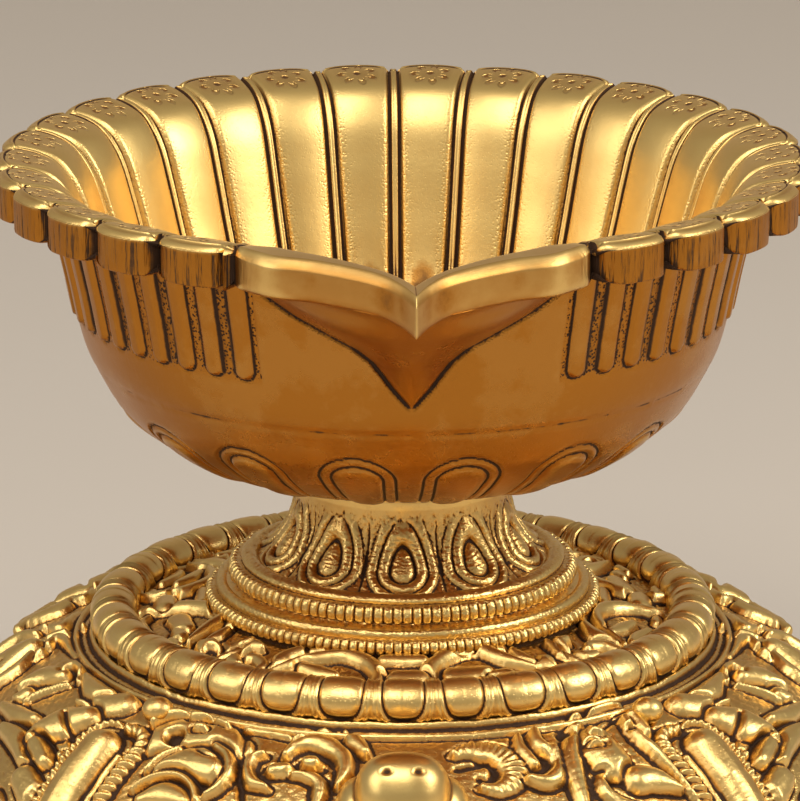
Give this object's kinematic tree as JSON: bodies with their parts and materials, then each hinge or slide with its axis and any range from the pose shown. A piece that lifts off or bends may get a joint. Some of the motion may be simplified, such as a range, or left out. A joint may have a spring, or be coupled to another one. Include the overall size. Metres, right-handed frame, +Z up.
{
  "type": "butter lamp",
  "caption": "Cast brass butter lamp: fluted bowl with scalloped rim and wick beak, on a lotus neck, a stepped collar and an ornate hollow domed base with an animal head.",
  "frame": {"origin": "on the table, on the axis of the lamp", "axes": "+Z up along the axis of the lamp, -Y to the front, where the wick beak and the animal head point"},
  "size_m": [0.144, 0.1443, 0.1126],
  "materials": {
    "polished_brass": "polished, dark in the grooves",
    "antique_brass": "cast and burnished, dark brown in the recesses",
    "plain_brass": "plain turned"
  },
  "bodies": {
    "base": {"base_shell": "antique_brass", "bead_reel_ring": "antique_brass", "corner_balls": "antique_brass", "corner_tongues": "antique_brass", "animal_head": "polished_brass", "head_pin": "plain_brass", "collar": "antique_brass", "lotus_neck": "antique_brass", "clamp_washer": "plain_brass", "clamp_nut": "plain_brass"},
    "bowl": {"bowl": "polished_brass", "bowl_stud": "plain_brass"}
  },
  "joints": [
    {"name": "bowl_lift", "type": "slide", "parent": "base", "child": "bowl", "axis": [0, 0, 1], "range_m": [0, 0.014]}
  ]
}
